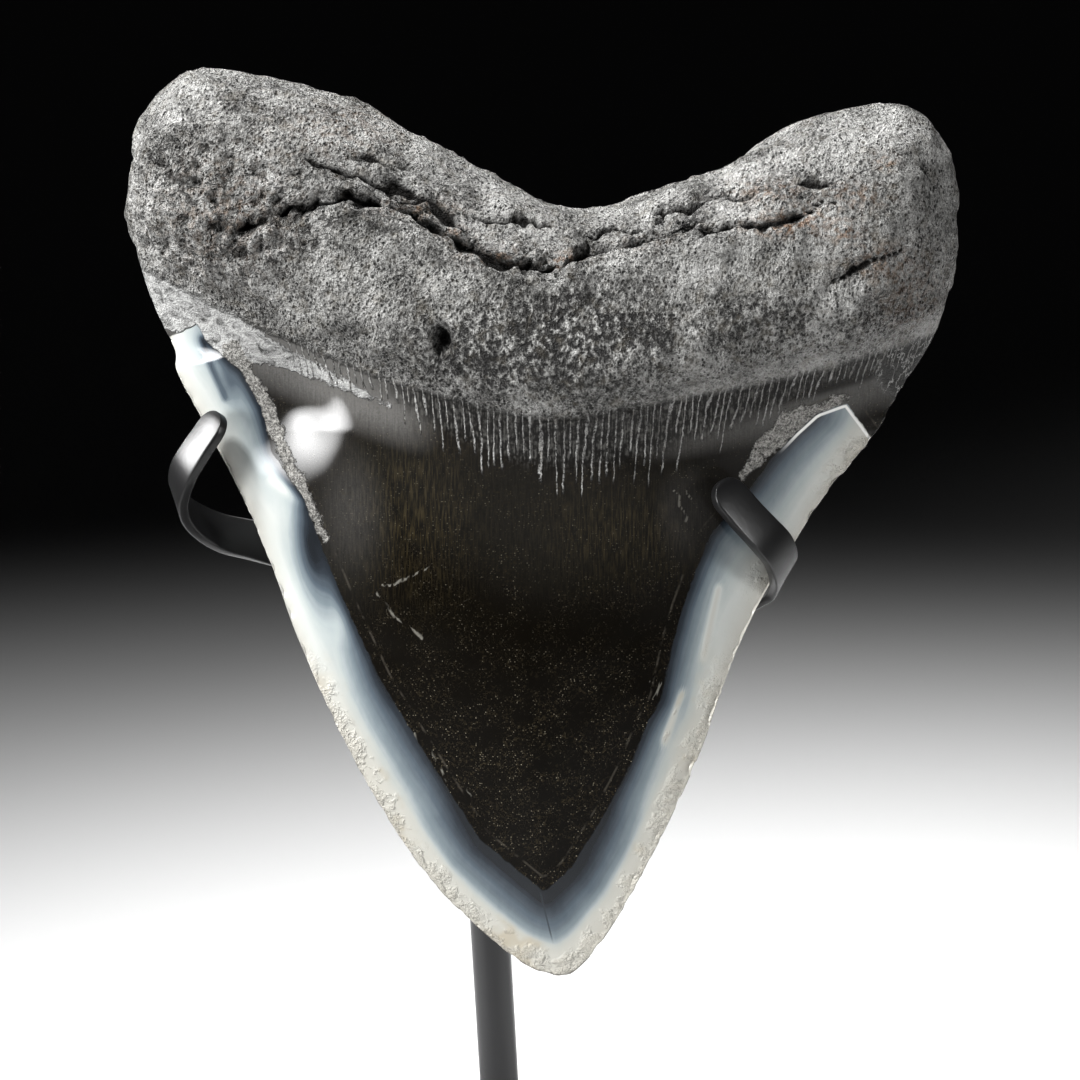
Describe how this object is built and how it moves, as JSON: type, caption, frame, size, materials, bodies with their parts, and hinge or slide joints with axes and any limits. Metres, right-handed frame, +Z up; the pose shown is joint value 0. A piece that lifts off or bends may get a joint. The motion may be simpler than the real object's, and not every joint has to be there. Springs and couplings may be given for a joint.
{
  "type": "megalodon tooth",
  "caption": "Fossil shark tooth with a polished dark blade, pale enamel rim and rough grey root, held upright by flat hooks on a black post and plate",
  "frame": {"origin": "middle of the felt under the base plate, on the surface that the stand rests on", "axes": "+Z up, +X to the right as the tooth is looked at, and the tooth's lingual face looks along -Y"},
  "size_m": [0.1274, 0.084, 0.2048],
  "materials": {
    "fossil": "polished blade, rough root",
    "black_steel": "satin black",
    "zinc_steel": "zinc plated",
    "felt": "pressed felt"
  },
  "bodies": {
    "root": {"tooth": "fossil", "left_arm": "black_steel", "right_arm": "black_steel", "post": "black_steel", "base": "black_steel", "base_screw": "zinc_steel", "base_felt": "felt"}
  },
  "joints": []
}
